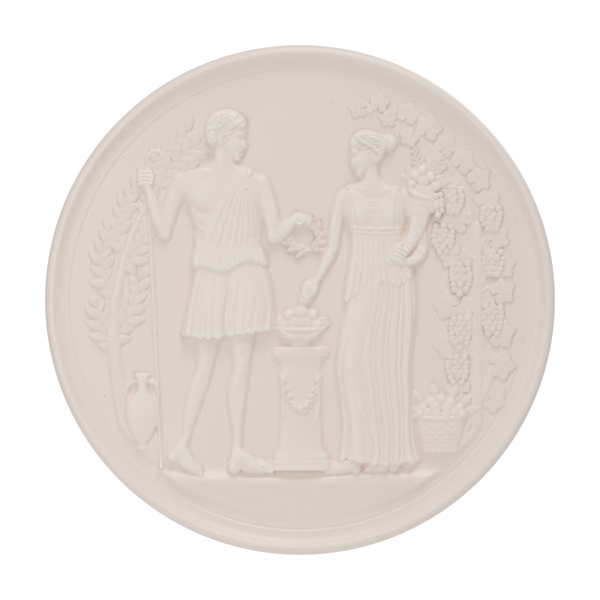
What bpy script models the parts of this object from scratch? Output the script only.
import math

import bmesh
import bpy
import numpy as np

# Driving dimensions, in metres
PLAQUE_RADIUS = 0.0725
RIM_WIDTH = 0.0075
RIM_HEIGHT = 0.0026
PLATE_THICKNESS = 0.0062
FOOT_HEIGHT = 0.0038
FOOT_WIDTH = 0.0042
FOOT_INSET = 0.0140
FOOT_EDGE = 0.0003
CORD_HOLE_RADIUS = 0.0011
CORD_HOLE_ANGLE = math.radians(11.0)
RELIEF_DEPTH = 0.0043
RELIEF_PITCH = 0.00046
RELIEF_SHARE = 0.041
SUNK = 0.0008
TURN_STEPS = 80
BISQUE_COLOUR = (0.84, 0.78, 0.73, 1.0)

# The rim seen in section: share of its width from the field outwards, share of its height above the field
RIM_SECTION = (
    (0.0, 0.0), (0.03, -0.1), (0.13, 0.22), (0.22, 0.12), (0.45, 0.3), (0.62, 0.8),
    (0.72, 1.0), (0.86, 0.86), (0.97, 0.35), (1.0, -0.35), (0.95, -1.1),
)

# Sizes that follow from those above
FIELD_RADIUS = PLAQUE_RADIUS - RIM_WIDTH
FOOT_OUTER_RADIUS = PLAQUE_RADIUS - FOOT_INSET
FOOT_INNER_RADIUS = FOOT_OUTER_RADIUS - FOOT_WIDTH
HANGER_RADIUS = (FOOT_OUTER_RADIUS + FOOT_INNER_RADIUS) / 2
FIELD_LEVEL = FOOT_HEIGHT + PLATE_THICKNESS

# The relief is laid out on a field of this radius and height, then brought to the plaque's own size
LAYOUT_RADIUS = 65.0
LAYOUT_HEIGHT = 7.2
EMPTY = -50.0


def smooth_curve(rows, per_span=6, closed=False):
    """A smooth curve through rows of numbers, sampled evenly between them."""
    points = np.asarray(rows, float)
    if closed:
        guides = np.vstack([points[-1:], points, points[:2]])
        spans = len(points)
    else:
        guides = np.vstack([2 * points[0] - points[1], points, 2 * points[-1] - points[-2]])
        spans = len(points) - 1
    t = np.linspace(0, 1, per_span, endpoint=False)[:, None]
    pieces = []
    for i in range(spans):
        a, b, c, d = guides[i:i + 4]
        bend = 2 * a - 5 * b + 4 * c - d
        twist = 3 * b - a - 3 * c + d
        pieces.append(0.5 * (2 * b + (c - a) * t + bend * t * t + twist * t ** 3))
    if not closed:
        pieces.append(points[-1:])
    return np.vstack(pieces)


def read_curve(y, rows, column):
    """One column of the rows, read along their first column."""
    rows = np.asarray(rows, float)
    fine = smooth_curve(rows[np.argsort(rows[:, 0])], 8)
    return np.interp(y, fine[:, 0], fine[:, column])


def soft_max(a, b, width):
    share = np.clip(0.5 + 0.5 * (a - b) / width, 0, 1)
    return b * (1 - share) + a * share + width * share * (1 - share)


def dome(u, power=2.0):
    """A rounded section, 1 on its axis and 0 at its edge."""
    u = np.clip(np.abs(u), 0, 1)
    return (1 - u ** power) ** (1 / power)


def step(a, b, x):
    t = np.clip((x - a) / (b - a), 0, 1)
    return t * t * (3 - 2 * t)


class Clay:
    """Heights laid over a set of points, in a figure's own units."""

    def __init__(self, x, y):
        self.x = x
        self.y = y
        self.h = np.full(x.shape, EMPTY)

    def near(self, low, high):
        inside = (self.x > low[0]) & (self.x < high[0]) & (self.y > low[1]) & (self.y < high[1])
        return np.nonzero(inside)[0]

    def follow(self, path, reach):
        """The nearest place on a path: points, distance, side, share along it, its other columns."""
        ids = self.near(path[:, :2].min(0) - reach, path[:, :2].max(0) + reach)
        x, y = self.x[ids], self.y[ids]
        best = np.full(len(ids), 1e9)
        place = np.zeros(len(ids))
        side = np.ones(len(ids))
        for i in range(len(path) - 1):
            start = path[i, :2]
            along = path[i + 1, :2] - start
            away_x, away_y = x - start[0], y - start[1]
            t = np.clip((away_x * along[0] + away_y * along[1]) / (along @ along + 1e-12), 0, 1)
            distance = (away_x - t * along[0]) ** 2 + (away_y - t * along[1]) ** 2
            closer = distance < best
            best = np.where(closer, distance, best)
            place = np.where(closer, i + t, place)
            turn = along[0] * away_y - along[1] * away_x
            side = np.where(closer, np.where(turn >= 0, 1.0, -1.0), side)
        rest = [np.interp(place, np.arange(len(path)), path[:, c]) for c in range(2, path.shape[1])]
        return ids, np.sqrt(best), side, place / (len(path) - 1), rest

    def put(self, ids, height, blend=0.0):
        old = self.h[ids]
        new = np.maximum(old, height)
        if blend > 0:
            both = (old > EMPTY + 1) & (height > EMPTY + 1)
            new[both] = soft_max(old[both], height[both], blend)
        self.h[ids] = new

    def limb(self, rows, blend=0.0, power=2.0):
        """Rows: x, y, left half width, right half width, base, rise."""
        path = smooth_curve(rows)
        ids, distance, side, t, (left, right, base, rise) = self.follow(path, path[:, 2:4].max())
        u = distance / np.maximum(np.where(side > 0, left, right), 1e-6)
        self.put(ids, np.where(u < 1, base + rise * dome(u, power), EMPTY), blend)

    def trunk(self, rows, blend=0.0, power=2.2, extra=None, hem=None):
        """Rows: y, left x, right x, base, rise. A hem gives the cloth's lowest y across it."""
        rows = np.asarray(rows, float)
        ids = self.near((rows[:, 1].min() - 1, rows[:, 0].min()), (rows[:, 2].max() + 1, rows[:, 0].max()))
        x, y = self.x[ids], self.y[ids]
        left, right, base, rise = (read_curve(y, rows, c) for c in (1, 2, 3, 4))
        s = (x - (left + right) / 2) / ((right - left) / 2)
        height = base + rise * dome(s, power)
        if extra is not None:
            height = height + extra(s, x, y)
        inside = np.abs(s) < 1
        if hem is not None:
            inside &= y > hem(s)
        self.put(ids, np.where(inside, height, EMPTY), blend)

    def pad(self, rows, roll, base, rise, blend=0.0, smooth=True, power=2.0, extra=None):
        """A closed outline, filled and rounded over at its edge."""
        edge = smooth_curve(rows, 5, closed=True) if smooth else np.asarray(rows, float)
        ring = np.vstack([edge, edge[:1]])
        ids, distance, side, t, rest = self.follow(ring, 0.01)
        x, y = self.x[ids], self.y[ids]
        inside = np.zeros(len(ids), bool)
        for (ax, ay), (bx, by) in zip(ring[:-1], ring[1:]):
            if ay != by:
                inside ^= ((ay > y) != (by > y)) & (x < (bx - ax) * (y - ay) / (by - ay) + ax)
        height = base + rise * dome(1 - np.minimum(distance / roll, 1), power)
        if extra is not None:
            height = height + extra(x, y, distance)
        self.put(ids, np.where(inside, height, EMPTY), blend)
        return ids[inside]

    def lump(self, cx, cy, rx, ry, height, angle=0.0, power=2):
        """Adds a soft swelling, or with a negative height a hollow."""
        reach = max(rx, ry)
        ids = self.near((cx - reach, cy - reach), (cx + reach, cy + reach))
        a = math.radians(angle)
        dx, dy = self.x[ids] - cx, self.y[ids] - cy
        p = (dx * math.cos(a) + dy * math.sin(a)) / rx
        q = (dy * math.cos(a) - dx * math.sin(a)) / ry
        live = self.h[ids] > EMPTY + 1
        self.h[ids] += np.where(live, height * np.clip(1 - p * p - q * q, 0, 1) ** power, 0)

    def ridge(self, rows, width, height, ends=0.3):
        """Adds a ridge, or with a negative height a groove, that fades at its ends."""
        ids, distance, side, t, rest = self.follow(smooth_curve(rows), width)
        fade = np.minimum(step(0, ends, t), step(0, ends, 1 - t))
        live = self.h[ids] > EMPTY + 1
        self.h[ids] += np.where(live, height * np.clip(1 - (distance / width) ** 2, 0, 1) ** 2 * fade, 0)

    def part(self, cx, cy, angle, scale):
        """A part's own frame, laid over the same points."""
        a = math.radians(angle)
        dx, dy = self.x - cx, self.y - cy
        return Clay((dx * math.cos(a) + dy * math.sin(a)) / scale, (dy * math.cos(a) - dx * math.sin(a)) / scale)


# Small forms that repeat
def pleats(count, seed, low=-1.0, high=1.0):
    """Edges and heights of uneven folds across a cloth, from side to side."""
    chance = np.random.default_rng(seed)
    widths = chance.uniform(0.6, 1.4, count)
    edges = low + (high - low) * np.concatenate([[0], np.cumsum(widths)]) / widths.sum()
    return edges, chance.uniform(0.6, 1.0, count)


def fold_at(s, folds, power=2.6):
    edges, heights = folds
    i = np.clip(np.searchsorted(edges, s) - 1, 0, len(heights) - 1)
    share = np.clip((s - edges[i]) / (edges[i + 1] - edges[i]), 0, 1)
    return heights[i] * (1 - np.abs(2 * share - 1) ** power)


def bead(clay, x, y, radius, base, rise):
    clay.limb([(x, y - 0.01, radius, radius, base, rise), (x, y + 0.01, radius, radius, base, rise)])


def leaf(clay, x, y, angle, length, width, base, rise):
    a = math.radians(angle)
    rows = []
    for share, wide in ((0.0, 0.2), (0.35, 1.0), (0.7, 0.8), (1.0, 0.1)):
        px, py = x + length * share * math.cos(a), y + length * share * math.sin(a)
        rows.append((px, py, width * wide, width * wide, base, rise * (0.6 + 0.4 * wide)))
    clay.limb(rows)


def vine_leaf(clay, x, y, angle, size, base, rise):
    """A broad leaf with five lobes, its tip at the given angle."""
    ids = clay.near((x - size * 1.1, y - size * 1.1), (x + size * 1.1, y + size * 1.1))
    a = math.radians(angle)
    dx, dy = (clay.x[ids] - x) / size, (clay.y[ids] - y) / size
    p, q = dx * math.cos(a) + dy * math.sin(a), dy * math.cos(a) - dx * math.sin(a)
    distance, turn = np.hypot(p, q), np.arctan2(q, p)
    edge = np.full(len(ids), 0.5)
    for at, reach in ((0, 1.0), (0.95, 0.86), (-0.95, 0.86), (2.0, 0.66), (-2.0, 0.66)):
        edge = np.maximum(edge, reach * np.clip(1 - ((turn - at) / 0.78) ** 2, 0, 1) ** 0.55)
    u = distance / edge
    clay.put(ids, np.where(u < 1, base + rise * dome(u, 3.0) * (0.75 + 0.25 * distance), EMPTY))


def bunch(clay, x, y, wide, tall, base, rise):
    """A bunch of grapes that hangs from x, y and narrows to its tip."""
    rows = max(3, round(tall / 1.7))
    for k in range(rows):
        t = (k + 0.5) / rows
        half = wide * 0.5 * math.sin(math.pi * (0.22 + 0.74 * t)) ** 0.8
        count = max(1, round(2 * half / 1.8) + k % 2)
        for j in range(count):
            across = 0 if count == 1 else (2 * j / (count - 1) - 1) * half
            swell = math.sqrt(max(0, 1 - (across / (half + 0.6)) ** 2))
            bead(clay, x + across, y - tall * t, 1.05, base + 0.8 * rise * swell, 1.0)


def ear(clay, x, y, angle, length, base, rise):
    leaf(clay, x, y, angle, length, length * 0.17, base, rise)


# Heads in profile, ten units high, looking towards +X in their own frame
def profile_head(clay, cx, cy, angle, scale, hair):
    head = clay.part(cx, cy, angle, scale)
    face = [(3.05, 0.25), (3.45, 0.75), (3.35, 1.25), (3.65, 1.8), (3.55, 2.12), (3.75, 2.6), (4.1, 3.1),
            (4.42, 3.35), (4.28, 3.75), (3.95, 4.6), (3.75, 5.3), (3.78, 6.2), (3.55, 7.4), (2.7, 8.8),
            (1.2, 9.75), (-0.8, 9.9), (-2.8, 9.1), (-4.1, 7.3), (-4.2, 5.3), (-3.4, 3.5), (-2.2, 2.4),
            (-0.6, 1.55), (1.0, 0.55), (2.2, 0.1)]
    head.pad(face, 3.0, 0.9, 2.6, power=2.3)
    head.lump(2.75, 5.0, 1.0, 0.72, -0.6, -8)
    head.lump(1.9, 3.6, 1.7, 1.5, 0.3, 20)
    head.ridge([(1.75, 5.72), (2.7, 5.95), (3.6, 5.6)], 0.4, 0.3)
    head.ridge([(2.6, 2.08), (3.2, 2.2), (3.7, 2.14)], 0.3, -0.4)
    head.ridge([(-0.35, 3.75), (-0.05, 4.9), (-0.7, 5.3), (-0.95, 4.3)], 0.4, 0.45)
    hair(head)
    return head


def curly_hair(head):
    cap = [(3.35, 7.2), (3.5, 8.0), (2.9, 9.3), (1.3, 10.3), (-0.9, 10.5), (-3.1, 9.7), (-4.7, 7.7),
           (-4.8, 5.3), (-4.1, 3.3), (-3.0, 2.5), (-2.2, 3.0), (-1.7, 4.4), (-1.5, 5.6), (-0.5, 6.2),
           (0.55, 5.2), (0.95, 4.4), (1.15, 5.4), (1.7, 6.5), (2.6, 7.0)]
    head.pad(cap, 1.5, 1.6, 2.5, power=2.2)
    for ring, (radius, count) in enumerate(((1.4, 5), (2.9, 10), (4.2, 13))):
        for k in range(count):
            a = 2 * math.pi * (k + 0.5 * (ring % 2)) / count
            x, y = -0.6 + radius * math.cos(a), 6.5 + radius * 0.88 * math.sin(a)
            if not (x > -1.5 and y < 6.4) and y > 2.9:
                head.lump(x, y, 1.0, 1.0, 0.6, power=1)


def bound_hair(head):
    cap = [(3.4, 7.0), (3.55, 7.9), (2.8, 9.2), (1.2, 10.15), (-0.9, 10.3), (-3.0, 9.4), (-4.4, 7.6),
           (-4.5, 5.6), (-3.5, 3.8), (-2.5, 3.0), (-1.7, 3.6), (-1.3, 4.9), (-0.8, 5.6), (0.1, 5.35),
           (0.9, 4.9), (1.5, 5.6), (2.3, 6.5)]
    bun = [(-4.1, 8.5), (-5.6, 8.7), (-7.0, 7.8), (-7.3, 6.4), (-6.4, 5.2), (-4.9, 5.1), (-4.0, 6.2)]
    head.pad(bun, 1.3, 0.9, 2.2)
    head.pad(cap, 1.4, 1.5, 2.35, power=2.2)
    head.ridge([(1.55, 9.9), (0.7, 8.1), (-0.6, 6.6), (-2.6, 5.0)], 0.45, 0.45)


def foot(clay, x, y, size, base, rise, lift=0.0):
    """A foot in side view, its toes towards +X, with x and y under the heel."""
    sole = clay.part(x, y, lift, size)
    rows = [(0.15, 2.4), (-0.2, 1.1), (0.5, 0.15), (4.4, 0.5), (8.6, 0.0), (10.1, 0.25), (10.2, 1.05),
            (9.2, 1.6), (7.4, 2.2), (5.6, 3.2), (4.4, 4.5), (3.6, 6.2), (3.2, 7.4), (1.2, 7.4), (0.85, 4.6)]
    sole.pad(rows, 1.5, base, rise, power=2.1)
    fade = sole.h - 2.0 * step(4.5, 7.4, sole.y)
    live = sole.h > EMPTY + 1
    both = live & (clay.h > EMPTY + 1)
    clay.h[both] = soft_max(clay.h[both], fade[both], 0.5)
    only = live & ~both
    clay.h[only] = sole.h[only]


def posed(clay, sway, tilt):
    """Leans a figure: rows of its height against sideways shift, and against slope."""
    clay.x = clay.x - read_curve(clay.y, sway, 1)
    clay.y = clay.y - read_curve(clay.y, tilt, 1) * clay.x


# The man, one hundred units high, in a short tunic
def legs_of_man(clay):
    clay.limb([(-4.2, 53, 4.8, 4.9, 0.2, 2.6), (-4.4, 45, 4.5, 4.6, 0.2, 2.8), (-5.0, 37, 3.6, 3.7, 0.2, 2.7),
               (-5.3, 31, 2.75, 2.8, 0.2, 2.6), (-5.7, 28, 2.6, 2.6, 0.2, 2.5), (-7.0, 22.5, 2.3, 3.3, 0.2, 2.3),
               (-8.6, 16.5, 1.9, 2.7, 0.2, 2.0), (-9.9, 11, 1.45, 1.7, 0.2, 1.7), (-10.9, 6.6, 1.35, 1.45, 0.2, 1.6)])
    foot(clay, -15.2, 3.4, 1.02, 0.9, 2.0, lift=-27)
    clay.limb([(3.8, 53, 5.0, 4.8, 0.3, 3.2), (4.0, 45, 4.7, 4.5, 0.3, 3.4), (4.4, 37, 3.8, 3.8, 0.3, 3.3),
               (4.6, 31.5, 2.9, 2.9, 0.3, 3.1), (4.6, 28.2, 2.75, 2.7, 0.3, 3.0), (4.3, 22.5, 2.4, 3.7, 0.3, 2.8),
               (4.1, 16.5, 2.0, 2.8, 0.3, 2.4), (4.0, 10, 1.6, 1.7, 0.3, 2.0), (4.0, 5.6, 1.5, 1.7, 0.3, 1.9)])
    foot(clay, 1.6, -0.4, 1.12, 1.2, 2.3)
    for x in (4.9, -5.0):
        clay.lump(x + 0.3, 29.9, 1.9, 2.3, 0.5)


def trunk_of_man(clay):
    clay.trunk([(88, -1.6, 3.8, 0.8, 2.4), (86, -2.6, 4.6, 0.8, 2.7), (84.2, -6.2, 8.2, 0.8, 3.0),
                (82.2, -11.2, 12.2, 0.8, 3.4), (79, -12.6, 13.2, 0.8, 3.9), (75, -10.4, 11.2, 0.8, 4.3),
                (70, -9.0, 9.9, 0.8, 4.3), (65, -8.0, 9.0, 0.8, 4.1), (61, -8.0, 8.8, 0.8, 4.1),
                (56, -8.9, 9.0, 0.8, 4.2), (52, -9.6, 9.4, 0.8, 4.1), (48, -9.4, 9.4, 0.8, 3.8)], blend=0.6)
    clay.lump(-4.9, 76.6, 6.0, 5.0, 0.8, 14)
    clay.ridge([(0.2, 81), (0.2, 76), (0.3, 70), (0.3, 62)], 1.2, -0.5)
    clay.ridge([(-9.4, 74.6), (-5.8, 71.8), (-1.4, 72.6)], 1.2, -0.6)
    clay.limb([(0.6, 80, 3.6, 3.4, 2.2, 1.9), (0.9, 85, 3.0, 3.0, 1.8, 2.4), (1.4, 90, 2.9, 3.0, 1.4, 2.6)], blend=0.9)


def tunic(clay):
    """The cloth pinned on one shoulder, bloused at the belt and hanging to the knee."""
    fan = pleats(7, 8, -1.0, 0.35)

    def fan_folds(x, y, distance):
        return 0.9 * fold_at(np.arctan2(x - 8.2, 88.5 - y), fan) * step(84.5, 78, y) * step(0, 1.2, distance)

    bodice = [(5.2, 84.9), (8.6, 84.4), (12.6, 81.6), (12.9, 78.2), (11.2, 73.6), (10.2, 68), (9.6, 62),
              (0, 58.5), (-8.6, 59.5), (-8.7, 66.2), (-5.6, 69.6), (-1.5, 74.2), (2.4, 80.0)]
    body = clay.h.copy()
    cloth = Clay(clay.x, clay.y)
    ids = cloth.pad(bodice, 1.6, 0.0, 0.65, extra=fan_folds)
    clay.h[ids] = np.maximum(clay.h[ids], np.maximum(body[ids], 2.0) + cloth.h[ids] - 0.15)
    folds = pleats(8, 6)

    def skirt_folds(s, x, y):
        grow = step(60, 42, y)
        thighs = np.maximum(np.exp(-((x - 5.9) / 3.6) ** 2), 0.85 * np.exp(-((x + 5.9) / 3.5) ** 2)) * step(58, 46, y)
        spread = s + 0.07 * np.sin(y / 5.5 + 2.5 * s) * grow
        height = (0.6 + 1.2 * grow) * (1 - 0.72 * thighs) * fold_at(spread, folds) * step(1.0, 0.86, np.abs(s))
        return 0.2 + height + 1.2 * thighs - 1.0 * np.exp(-((x - 0.3) / 1.8) ** 2) * grow

    def skirt_hem(s):
        return 37.6 - 0.7 * fold_at(s, folds) + 1.2 * s * s

    clay.trunk([(62, -8.0, 9.0, 1.0, 4.1), (58, -9.4, 10.4, 1.0, 4.2), (50, -11.0, 12.0, 0.9, 4.1),
                (43, -12.4, 13.2, 0.8, 3.9), (36.0, -13.2, 14.2, 0.7, 3.7)], extra=skirt_folds, power=2.6, hem=skirt_hem)
    pulled = pleats(7, 23)

    def blouse_folds(s, x, y):
        low = 55.6 + 2.0 * np.abs(np.sin(2.9 * s + 0.5)) + 0.8 * s
        t = np.clip((66.5 - y) / (66.5 - low), 0, 1)
        edge = dome(1 - np.clip((y - low) / 1.5, 0, 1))
        height = (0.15 + 1.35 * t ** 1.6) * edge + (0.3 + 0.5 * t) * fold_at(s, pulled) * edge * step(66.5, 63, y)
        return np.where(y > low, height - 0.12, -6)

    clay.trunk([(66.5, -8.2, 9.0, 0.8, 4.1), (63.0, -8.9, 9.8, 0.8, 4.2), (59.5, -10.0, 10.9, 0.9, 4.4),
                (54.5, -10.3, 11.4, 1.0, 4.4)], extra=blouse_folds, power=2.6)


def arms_of_man(clay):
    clay.limb([(-11.0, 80.2, 2.6, 2.7, 0.4, 2.8), (-13.3, 75.5, 2.5, 2.7, 0.4, 2.9), (-15.6, 70.0, 2.2, 2.3, 0.5, 2.7),
               (-17.0, 66.4, 2.0, 2.0, 0.6, 2.5)], blend=0.4)
    clay.limb([(-16.9, 66.2, 1.9, 2.1, 0.6, 2.6), (-18.1, 69.2, 2.1, 2.2, 0.8, 2.6), (-19.2, 73.5, 1.75, 1.85, 1.0, 2.3),
               (-20.2, 77.6, 1.2, 1.3, 1.2, 1.9)], blend=0.5)
    clay.limb([(-21.2, 78.6, 2.0, 1.9, 1.4, 2.2), (-21.0, 82.2, 1.9, 1.8, 1.4, 2.2)], blend=0.4)


def offering_arm_of_man(clay):
    clay.limb([(11.2, 80.3, 2.7, 2.6, 1.0, 3.0), (12.6, 75.0, 2.6, 2.6, 1.4, 2.9), (13.4, 69.2, 2.25, 2.3, 1.7, 2.7),
               (13.6, 65.6, 2.0, 2.1, 1.8, 2.6)], blend=0.5)
    clay.limb([(13.4, 65.4, 2.0, 2.1, 1.8, 2.6), (15.6, 66.6, 2.15, 2.2, 2.0, 2.5), (17.6, 68.4, 1.75, 1.75, 2.2, 2.2),
               (19.4, 70.2, 1.15, 1.2, 2.3, 1.8)], blend=0.5)
    clay.limb([(20.2, 70.8, 1.3, 1.5, 2.3, 1.8), (22.0, 71.0, 1.5, 1.6, 2.3, 1.8), (23.8, 70.4, 1.1, 1.2, 2.3, 1.5)], blend=0.4)


def wreath(clay, x, y, radius, base, rise):
    """A ring of laurel, its leaves in pairs."""
    turns = np.linspace(0, 2 * math.pi, 25)
    clay.limb([(x + radius * math.cos(a), y + radius * math.sin(a), 0.6, 0.6, base, rise * 0.7) for a in turns])
    for k in range(9):
        a = math.pi * 0.5 + 2 * math.pi * (k + 0.5) / 9
        way = math.degrees(a) + (90 if math.cos(a) < 0 else -90) + 180
        for side in (-1, 1):
            leaf(clay, x + radius * math.cos(a), y + radius * math.sin(a), way + side * 34, 3.6, 0.85, base, rise)


# The woman, one hundred units high, in a long dress
def dress(clay):
    rows = [(87.0, -2.2, 3.4, 0.8, 2.2), (85.0, -3.6, 4.8, 0.8, 2.6), (83.4, -7.2, 8.2, 0.8, 3.0),
            (81.4, -9.8, 10.6, 0.8, 3.3), (78.0, -10.3, 11.0, 0.8, 3.6), (74.0, -8.9, 9.8, 0.8, 3.9),
            (70.5, -7.3, 8.3, 0.8, 3.9), (66.0, -6.9, 7.9, 0.8, 3.9), (61.0, -7.8, 8.8, 0.8, 4.0),
            (55.0, -9.6, 10.2, 0.8, 4.1), (48.0, -10.4, 11.4, 0.8, 4.0), (40.0, -10.2, 12.4, 0.8, 3.8),
            (31.0, -10.0, 12.8, 0.8, 3.6), (22.0, -10.4, 11.2, 0.7, 3.4), (13.0, -11.4, 10.4, 0.6, 3.2),
            (6.0, -12.8, 10.6, 0.5, 3.0), (0.6, -14.0, 11.2, 0.4, 2.9)]
    edges = np.array([-1.0, -0.82, -0.6, -0.4, -0.18, 0.02, 0.22, 0.62, 0.8, 1.0])
    folds = (edges, np.array([0.7, 1.0, 0.75, 1.0, 0.7, 1.0, 0.35, 0.6, 0.6]))
    heights = [0, 10, 20, 31, 44, 58]

    def skirt_folds(s, x, y):
        grow = step(70, 46, y)
        axis = np.interp(y, heights, [5.6, 5.6, 6.4, 7.9, 6.4, 3.6])
        wide = np.interp(y, heights, [2.0, 2.2, 3.0, 3.5, 4.7, 5.0])
        leg = np.exp(-((x - axis) / wide) ** 4) * step(64, 50, y)
        spread = s + 0.055 * np.sin(y / 8.5 + 2.4 * s) * grow
        cloth = (0.3 + 1.7 * grow) * (1 - 0.88 * leg) * fold_at(spread, folds) * step(1.0, 0.88, np.abs(s))
        swell = 1.9 * leg * np.clip(1 - ((x - axis) / (wide * 1.35)) ** 2, 0, 1)
        return np.where(y < 70.6, cloth + swell - 0.35 * grow, 0.25)

    def hem(s):
        return 2.6 - 1.0 * fold_at(s, folds) + 0.9 * s * s

    clay.trunk(rows, extra=skirt_folds, power=2.4, blend=0.5, hem=hem)
    clay.lump(8.2, 31.8, 2.7, 3.4, 0.7)
    clay.lump(-3.9, 75.8, 4.5, 4.3, 1.35, 10, power=1.6)
    clay.lump(4.6, 75.6, 4.5, 4.3, 1.35, -10, power=1.6)
    clay.limb([(-7.6, 70.2, 0.9, 0.9, 2.4, 1.5), (-3.5, 69.6, 0.95, 0.95, 4.0, 1.5), (0.6, 69.4, 0.95, 0.95, 4.3, 1.5),
               (4.6, 69.6, 0.95, 0.95, 4.0, 1.5), (8.5, 70.2, 0.9, 0.9, 2.4, 1.5)], power=3)
    clay.limb([(0.3, 78.6, 1.6, 1.6, 2.6, 0.6), (0.4, 81.5, 2.6, 2.6, 2.3, 1.5), (0.8, 85, 2.4, 2.4, 1.8, 2.1),
               (1.2, 90, 2.3, 2.4, 1.4, 2.4)], blend=1.4)


def arms_of_woman(clay):
    clay.limb([(10.0, 80.2, 2.3, 2.2, 1.0, 2.8), (11.8, 74.6, 2.2, 2.2, 1.4, 2.7), (13.2, 68.6, 1.9, 2.0, 1.7, 2.5),
               (13.9, 65.2, 1.75, 1.8, 1.8, 2.4)], blend=0.5)
    clay.limb([(13.8, 65.4, 1.75, 1.8, 1.8, 2.4), (15.6, 62.6, 1.8, 1.9, 1.8, 2.3), (17.8, 59.2, 1.5, 1.5, 1.7, 2.0),
               (19.4, 56.4, 1.0, 1.05, 1.6, 1.6)], blend=0.5)
    bead(clay, 22.3, 52.6, 2.3, 1.4, 2.6)
    clay.limb([(20.0, 55.8, 1.3, 1.5, 1.8, 1.8), (22.6, 54.8, 1.7, 1.8, 2.4, 1.8)], blend=0.4)


def horn_of_plenty(clay):
    """A curved horn with fruit, leaves and ears heaped in its mouth, and the arm that holds it."""
    for k, (angle, size) in enumerate(((150, 7.0), (128, 8.4), (104, 9.0), (82, 8.4), (60, 7.0))):
        a = math.radians(angle)
        place = (-14.4 + 3.0 * math.cos(a), 83.0 + 2.2 * math.sin(a))
        if k % 2:
            ear(clay, *place, angle, size + 2.0, 0.5, 1.6)
        else:
            leaf(clay, *place, angle, 6.4, 1.5, 0.7, 1.1)
    for x, y, radius in ((-16.6, 84.6, 1.7), (-12.2, 84.8, 1.8), (-14.4, 86.6, 1.7), (-14.4, 83.6, 1.9)):
        bead(clay, x, y, radius, 1.6, 1.9)
    clay.limb([(-1.2, 62.2, 0.5, 0.5, 3.9, 0.9), (-4.0, 61.6, 0.9, 0.9, 3.8, 1.3), (-7.6, 64.6, 1.6, 1.6, 3.4, 1.9),
               (-10.8, 70.0, 2.3, 2.3, 2.8, 2.3), (-12.8, 76.0, 3.1, 3.1, 1.8, 2.7), (-14.0, 81.0, 3.9, 3.9, 1.0, 2.9)])
    clay.limb([(-17.8, 80.6, 0.9, 0.9, 1.2, 1.4), (-14.6, 80.4, 0.95, 0.95, 3.0, 1.4), (-10.2, 82.6, 0.9, 0.9, 2.0, 1.4)])
    bunch(clay, -17.2, 81.6, 3.4, 7.4, 2.0, 1.4)
    clay.limb([(-12.3, 64.4, 1.8, 1.8, 2.0, 2.2), (-10.2, 63.4, 1.8, 1.8, 3.2, 1.9), (-7.6, 63.8, 1.35, 1.4, 4.0, 1.7),
               (-4.6, 65.6, 1.5, 1.5, 4.4, 1.4), (-6.4, 68.0, 1.4, 1.4, 4.4, 1.3)], blend=0.4)


# What stands round the two figures
def altar(clay):
    """A round altar with a base, a cornice and a swag of leaves and fruit."""
    rows = np.array([(0.0, 8.6), (3.0, 8.6), (3.02, 7.9), (4.2, 8.1), (5.6, 7.0), (8.0, 6.35), (30.0, 6.2),
                     (31.8, 6.9), (33.4, 8.1), (33.42, 8.5), (36.0, 8.5)])
    ids = clay.near((-9, 0), (9, 36))
    half = np.interp(clay.y[ids], rows[:, 0], rows[:, 1])
    s = clay.x[ids] / half
    clay.put(ids, np.where(np.abs(s) < 1, 0.4 + 0.34 * half * dome(s), EMPTY))
    for k in range(9):
        t = k / 8 * 2 - 1
        level = 0.4 + 2.14 * math.sqrt(max(0.0, 1 - (4.9 * t / 6.4) ** 2))
        bead(clay, 4.9 * t, 26.2 - 6.6 * (1 - abs(t) ** 2.2), 1.6 - 0.6 * abs(t), level, 1.1)


def bowl_of_fruit(clay):
    heap = ((-4.3, 42.2, 1.9), (4.4, 42.2, 1.9), (-1.7, 42.9, 2.1), (2.0, 43.0, 2.0), (-2.9, 45.2, 1.8),
            (0.3, 46.0, 2.1), (3.2, 45.4, 1.75))
    for x, y, radius in heap:
        bead(clay, x, y, radius, 1.2, 1.9)
    rows = [(-6.6, 41.4), (-6.5, 40.3), (-5.0, 38.4), (-2.4, 37.3), (-2.6, 36.0), (2.6, 36.0), (2.4, 37.3),
            (5.0, 38.4), (6.5, 40.3), (6.6, 41.4)]
    clay.pad(rows, 1.6, 0.6, 2.9, smooth=False)
    clay.limb([(-6.9, 41.3, 0.6, 0.6, 1.6, 1.1), (0, 40.9, 0.7, 0.7, 3.3, 1.1), (6.9, 41.3, 0.6, 0.6, 1.6, 1.1)])
    bunch(clay, -5.0, 43.0, 3.4, 7.0, 2.4, 1.6)


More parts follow.
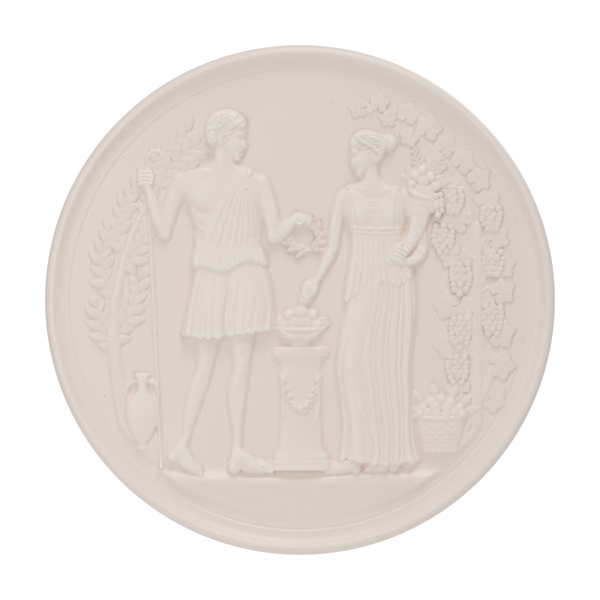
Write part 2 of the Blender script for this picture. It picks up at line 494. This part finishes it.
def laurel_tree(clay):
    clay.limb([(-48.8, -39, 4.2, 4.0, 0.0, 1.9), (-50.6, -31, 2.6, 2.7, 0.0, 1.9), (-52.4, -20, 2.1, 2.1, 0.0, 1.8),
               (-53.0, -8, 1.8, 1.8, 0.0, 1.7), (-52.0, 3, 1.5, 1.5, 0.0, 1.6), (-49.4, 14, 1.2, 1.2, 0.0, 1.4),
               (-45.0, 24.5, 0.9, 0.9, 0.0, 1.2), (-40.0, 33, 0.6, 0.6, 0.0, 1.0)])
    twigs = (
        [(-52.6, 0), (-55.2, 6), (-55.6, 12), (-53.8, 18)],
        [(-51.2, 8), (-46.6, 13), (-43.8, 19), (-43.0, 26)],
        [(-50.0, 12), (-51.8, 19), (-49.6, 26.5), (-45.4, 32.6)],
        [(-45.5, 23.5), (-40.6, 27), (-35.8, 31), (-32.6, 36.6)],
        [(-43.4, 28), (-42.0, 35), (-37.6, 40.6), (-31.8, 45.6)],
        [(-53.0, -11), (-48.8, -6), (-46.6, 0), (-46.4, 6)],
        [(-40, 33), (-35.4, 37.4), (-30.4, 40.4), (-26.4, 44.4)],
        [(-52.8, -15), (-55.6, -9), (-56.6, -3)],
    )
    for rows in twigs:
        path = smooth_curve(rows)
        lengths = np.hypot(*np.diff(path, axis=0).T)
        along = np.concatenate([[0], np.cumsum(lengths)])
        count = int(along[-1] / 3.6)
        for k in range(count + 1):
            place = along[-1] * (0.12 + 0.88 * k / count)
            x, y = (np.interp(place, along, path[:, c]) for c in (0, 1))
            before_x, before_y = (np.interp(place - 0.5, along, path[:, c]) for c in (0, 1))
            heading = math.degrees(math.atan2(y - before_y, x - before_x))
            for side in (-1, 1):
                leaf(clay, x, y, heading + side * (40 if k < count else 12), 5.4, 1.15, 0.35, 1.2)


def grape_vine(clay):
    clay.limb([(50.4, -39, 1.5, 1.5, 0, 1.1), (50.4, 21, 1.3, 1.3, 0, 1.1)], power=3)
    stem = [(46.6, -38), (50.0, -31), (54.0, -22), (50.6, -13), (48.0, -4), (52.0, 5), (53.4, 13), (49.4, 20),
            (45.0, 27), (39.4, 32.6), (33.0, 38.6), (27.0, 44.6)]
    clay.limb([(x, y, 1.0 - 0.05 * k, 1.0 - 0.05 * k, 0.3, 1.5 - 0.06 * k) for k, (x, y) in enumerate(stem)])
    leaves = (
        (54.4, -28, -20, 4.6), (45.6, -24, 160, 4.8), (55.6, -16.5, -10, 4.4), (43.8, -13.0, 185, 5.0),
        (57.2, -4.0, 15, 4.2), (44.0, -1.0, 165, 5.0), (56.4, 8.0, 30, 4.6), (45.6, 10.4, 185, 4.9),
        (54.4, 18.6, 40, 4.6), (42.6, 19.2, 200, 4.9), (49.4, 26.4, 50, 4.8), (38.6, 26.4, 215, 4.4),
        (43.4, 33.6, 60, 5.0), (33.6, 33.2, 225, 4.4), (36.6, 40.4, 70, 4.9), (27.6, 39.6, 230, 4.2),
        (29.0, 46.6, 95, 4.6),
    )
    for k, (x, y, angle, size) in enumerate(leaves):
        vine_leaf(clay, x, y, angle, size, 0.3 + 0.25 * (k % 2), 1.0)
    bunches = ((54.6, -6.6, 8.5), (46.4, -6.2, 10.0), (45.6, -17.4, 8.0), (54.0, 13.6, 8.0), (44.6, 16.4, 10.0),
               (40.2, 30.0, 9.0), (50.4, 23.4, 7.5))
    for x, y, tall in bunches:
        bunch(clay, x, y, 5.0, tall, 0.6, 1.3)


def wine_jar(clay):
    """A two handled jar in side view."""
    for side in (-1, 1):
        clay.limb([(side * 5.6, 17.8, 0.7, 0.7, 0.3, 1.5), (side * 6.0, 21.4, 0.7, 0.7, 0.3, 1.5),
                   (side * 4.6, 24.6, 0.7, 0.7, 0.3, 1.5), (side * 2.2, 25.6, 0.7, 0.7, 0.3, 1.5)])
    clay.trunk([(0.0, -2.6, 2.6, 0.4, 1.6), (1.0, -2.3, 2.3, 0.4, 1.6), (2.0, -1.7, 1.7, 0.4, 1.7),
                (4.5, -3.4, 3.4, 0.4, 2.4), (9.0, -5.6, 5.6, 0.4, 3.2), (14.0, -6.6, 6.6, 0.4, 3.6),
                (18.0, -6.0, 6.0, 0.4, 3.4), (20.6, -3.6, 3.6, 0.4, 2.6), (22.2, -2.1, 2.1, 0.4, 2.0),
                (25.0, -1.9, 1.9, 0.4, 1.9), (26.8, -2.4, 2.4, 0.4, 2.0), (28.6, -3.3, 3.3, 0.4, 2.1)], power=2.0)


def fruit_basket(clay):
    for k in range(11):
        x = -6.2 + 1.24 * k
        bead(clay, x, 11.2 + 2.4 * (k % 2) * math.sqrt(1 - (x / 7.4) ** 2), 1.4, 1.4, 1.5)
    clay.trunk([(0, -5.2, 5.2, 0.3, 2.4), (5, -6.4, 6.4, 0.3, 2.9), (10, -7.6, 7.6, 0.3, 3.2),
                (10.8, -7.7, 7.7, 0.3, 3.2)], power=2.0)
    clay.limb([(-8.0, 11.0, 0.8, 0.8, 0.6, 1.3), (0, 10.4, 0.9, 0.9, 3.1, 1.4), (8.0, 11.0, 0.8, 0.8, 0.6, 1.3)])


def bank_of_earth(x, y):
    """The ledge under the feet, rolling over to the plain field below."""
    bank = 7.0 * step(-31, -46, x) + 6.0 * step(31, 44, x)
    top = -46.0 + 0.5 * np.sin(x / 15.0 + 0.6) + bank
    edge = -50.6 + 0.7 * np.sin(x / 11.0 - 0.8) + 0.2 * bank - 1.0 * np.exp(-(x / 30) ** 2)
    ends = step(51, 38, np.abs(x))
    swell = 1.5 + 1.1 * np.exp(-((y - edge - 0.8) / 1.8) ** 2) * ends
    return swell * step(edge - 3.4, edge + 0.8, y) * step(top + 2.6, top - 1.4, y) * (0.45 + 0.55 * ends)


def placed(x, y, at_x, at_y, height, side=1):
    """A frame one hundred units high, standing at a place on the field."""
    scale = 100.0 / height
    return Clay(side * (x - at_x) * scale, (y - at_y) * scale)


def man_with_staff(x, y):
    clay = placed(x, y, -22.0, -48.6, 102.0)
    clay.limb([(-16.6, 1.6, 0.7, 0.7, 0.6, 1.5), (-19.2, 46, 0.7, 0.7, 0.4, 1.5), (-21.1, 84, 0.7, 0.7, 0.4, 1.4)])
    clay.limb([(-21.0, 83.5, 0.7, 0.7, 0.2, 1.4), (-21.1, 86.5, 0.7, 0.7, 0.2, 1.4), (-19.9, 88.9, 0.7, 0.7, 0.2, 1.4),
               (-17.6, 88.9, 0.7, 0.7, 0.2, 1.4), (-16.7, 86.9, 0.7, 0.7, 0.2, 1.3), (-17.8, 85.5, 0.6, 0.6, 0.2, 1.2)])
    staff = clay.h.copy()
    clay.h[:] = EMPTY
    posed(clay, [(0, 0), (28, 0.5), (50, 1.9), (64, 0.9), (80, -0.5), (100, -0.8)],
          [(0, 0), (45, 0.03), (55, 0.03), (75, -0.035), (84, -0.04), (100, -0.02)])
    legs_of_man(clay)
    arms_of_man(clay)
    trunk_of_man(clay)
    tunic(clay)
    wreath(clay, 21.6, 65.6, 4.6, 1.0, 1.4)
    offering_arm_of_man(clay)
    head = profile_head(clay, 1.3, 86.6, -8, 1.34, curly_hair)
    return np.maximum(np.maximum(clay.h, head.h * 1.34 + 0.2), staff)


def woman_with_horn(x, y):
    clay = placed(x, y, 21.8, -48.6, 97.0, -1)
    posed(clay, [(0, 0), (28, -0.3), (50, -1.7), (64, -0.9), (80, 0.4), (100, 0.9)],
          [(0, 0), (45, -0.03), (55, -0.03), (75, 0.03), (84, 0.03), (100, 0.02)])
    clay.limb([(-9.4, 80.2, 2.2, 2.3, 0.6, 2.6), (-11.6, 74.5, 2.1, 2.3, 0.7, 2.6), (-12.6, 68.4, 1.9, 2.0, 0.8, 2.4),
               (-12.4, 64.6, 1.8, 1.8, 0.9, 2.4)], blend=0.4)
    foot(clay, 4.0, -0.6, 0.98, 1.0, 2.3)
    foot(clay, -7.4, 0.2, 0.95, 0.9, 2.1)
    dress(clay)
    arms_of_woman(clay)
    horn_of_plenty(clay)
    head = profile_head(clay, 0.9, 86.4, -10, 1.3, bound_hair)
    return 0.95 * np.maximum(clay.h, head.h * 1.3 + 0.2)


def relief_height(x, y):
    """Height of the relief over the layout's field."""
    back = Clay(x, y)
    laurel_tree(back)
    grape_vine(back)
    height = np.maximum(back.h, np.where(bank_of_earth(x, y) > 0.3, bank_of_earth(x, y), EMPTY))
    for thing, at_x, at_y, size in ((wine_jar, -45.2, -41.0, 90.0), (fruit_basket, 40.0, -42.4, 94.0)):
        clay = placed(x, y, at_x, at_y, size)
        thing(clay)
        height = np.maximum(height, clay.h * 0.75)
    clay = placed(x, y, 0.2, -48.4, 98.0)
    altar(clay)
    bowl_of_fruit(clay)
    height = np.maximum(height, clay.h)
    height = np.maximum(height, man_with_staff(x, y))
    return np.maximum(height, woman_with_horn(x, y))


# Building the plaque
def clear_scene():
    for thing in list(bpy.data.objects):
        bpy.data.objects.remove(thing, do_unlink=True)


def bisque_material():
    material = bpy.data.materials.new("unglazed_bisque_porcelain")
    material.use_nodes = True
    shader = material.node_tree.nodes["Principled BSDF"]
    shader.inputs["Base Color"].default_value = BISQUE_COLOUR
    shader.inputs["Roughness"].default_value = 0.62
    shader.inputs["Metallic"].default_value = 0.0
    material.diffuse_color = BISQUE_COLOUR
    return material


def collection_named(name):
    group = bpy.data.collections.new(name)
    bpy.context.scene.collection.children.link(group)
    return group


def plate_section():
    """Half of the plate's section, from the middle of the front, round the rim, to the middle of the back."""
    points = [(0.0, FIELD_LEVEL)]
    for across, up in RIM_SECTION:
        points.append((FIELD_RADIUS + RIM_WIDTH * across, FIELD_LEVEL + RIM_HEIGHT * up))
    points += [
        (FOOT_OUTER_RADIUS, FOOT_HEIGHT),
        (FOOT_OUTER_RADIUS, FOOT_EDGE),
        (FOOT_OUTER_RADIUS - FOOT_EDGE, 0.0),
        (FOOT_INNER_RADIUS + FOOT_EDGE, 0.0),
        (FOOT_INNER_RADIUS, FOOT_EDGE),
        (FOOT_INNER_RADIUS, FOOT_HEIGHT),
        (0.0, FOOT_HEIGHT),
    ]
    return points


def turned_plate(name, group, material):
    """The plate with its rim and foot ring, turned about its own axis, front upwards."""
    mesh = bpy.data.meshes.new(name)
    points = plate_section()
    edges = [(i, i + 1) for i in range(len(points) - 1)]
    mesh.from_pydata([(radius, 0.0, level) for radius, level in points], edges, [])
    plate = bpy.data.objects.new(name, mesh)
    group.objects.link(plate)
    plate.data.materials.append(material)
    turn = plate.modifiers.new("turn", "SCREW")
    turn.axis = "Z"
    turn.angle = 2 * math.pi
    turn.steps = TURN_STEPS
    turn.render_steps = TURN_STEPS
    turn.use_merge_vertices = True
    turn.merge_threshold = 0.00001
    turn.use_smooth_shade = True
    return plate


def relief_block(name, group):
    """The relief as a block that is sunk into the field, with its carved side up."""
    steps = round(2 * FIELD_RADIUS / RELIEF_PITCH)
    grid = bmesh.new()
    bmesh.ops.create_grid(grid, x_segments=steps, y_segments=steps, size=FIELD_RADIUS)
    to_layout = LAYOUT_RADIUS / FIELD_RADIUS
    places = np.array([vertex.co[:2] for vertex in grid.verts])
    reach = np.hypot(places[:, 0], places[:, 1]) * to_layout
    height = relief_height(places[:, 0] * to_layout, places[:, 1] * to_layout)
    height = np.where(reach < LAYOUT_RADIUS - 0.4, height, EMPTY)
    height = height * step(LAYOUT_RADIUS, LAYOUT_RADIUS - 2.4, reach)
    level = np.where(height > EMPTY * 0.5, height * RELIEF_DEPTH / LAYOUT_HEIGHT, -SUNK)
    level = np.where(level < 0.0001, -SUNK, level)
    for vertex, up in zip(grid.verts, level):
        vertex.co.z = up
    outside = [vertex for vertex, far in zip(grid.verts, reach) if far > LAYOUT_RADIUS - 0.2]
    bmesh.ops.delete(grid, geom=outside, context="VERTS")
    mesh = bpy.data.meshes.new(name)
    grid.to_mesh(mesh)
    grid.free()
    sheet = bpy.data.objects.new(name, mesh)
    group.objects.link(sheet)
    fewer = sheet.modifiers.new("fewer_faces", "DECIMATE")
    fewer.ratio = RELIEF_SHARE
    carved = bpy.data.meshes.new_from_object(sheet.evaluated_get(bpy.context.evaluated_depsgraph_get()))
    sheet.modifiers.remove(fewer)
    block = bmesh.new()
    block.from_mesh(carved)
    lower = bmesh.ops.extrude_face_region(block, geom=list(block.faces), use_keep_orig=True)
    for piece in lower["geom"]:
        if isinstance(piece, bmesh.types.BMVert):
            piece.co.z = -0.5 * PLATE_THICKNESS
    bmesh.ops.recalc_face_normals(block, faces=list(block.faces))
    block.to_mesh(sheet.data)
    block.free()
    bpy.data.meshes.remove(carved)
    sheet.location.z = FIELD_LEVEL
    return sheet


def cord_hole(name, group, angle):
    """A bore that runs through the foot ring from outside to inside."""
    mesh = bpy.data.meshes.new(name)
    bore = bmesh.new()
    bmesh.ops.create_cone(bore, cap_ends=True, segments=20, radius1=CORD_HOLE_RADIUS, radius2=CORD_HOLE_RADIUS,
                          depth=FOOT_WIDTH * 2)
    bore.to_mesh(mesh)
    bore.free()
    cutter = bpy.data.objects.new(name, mesh)
    group.objects.link(cutter)
    cutter.rotation_euler = (-math.pi / 2, 0.0, -angle)
    cutter.location = (HANGER_RADIUS * math.sin(angle), HANGER_RADIUS * math.cos(angle), FOOT_HEIGHT / 2)
    return cutter


def main():
    clear_scene()
    group = collection_named("porcelain_relief_plaque")
    tools = collection_named("joined_and_cut_shapes")
    plaque = turned_plate("relief_plaque", group, bisque_material())
    relief = relief_block("relief_shape", tools)
    bores = [cord_hole("cord_bore_left", tools, -CORD_HOLE_ANGLE), cord_hole("cord_bore_right", tools, CORD_HOLE_ANGLE)]
    stand = bpy.data.objects.new("hanging_point", None)
    group.objects.link(stand)
    for thing in (plaque, relief, *bores):
        thing.parent = stand
    for thing in (relief, *bores):
        thing.display_type = "WIRE"
        thing.hide_render = True
    join = plaque.modifiers.new("relief", "BOOLEAN")
    join.operation = "UNION"
    join.solver = "EXACT"
    join.object = relief
    for bore in bores:
        cut = plaque.modifiers.new(bore.name, "BOOLEAN")
        cut.operation = "DIFFERENCE"
        cut.solver = "EXACT"
        cut.object = bore
    stand.rotation_euler = (math.pi / 2, 0.0, 0.0)
    stand.location = (0.0, 0.0, -HANGER_RADIUS)


main()
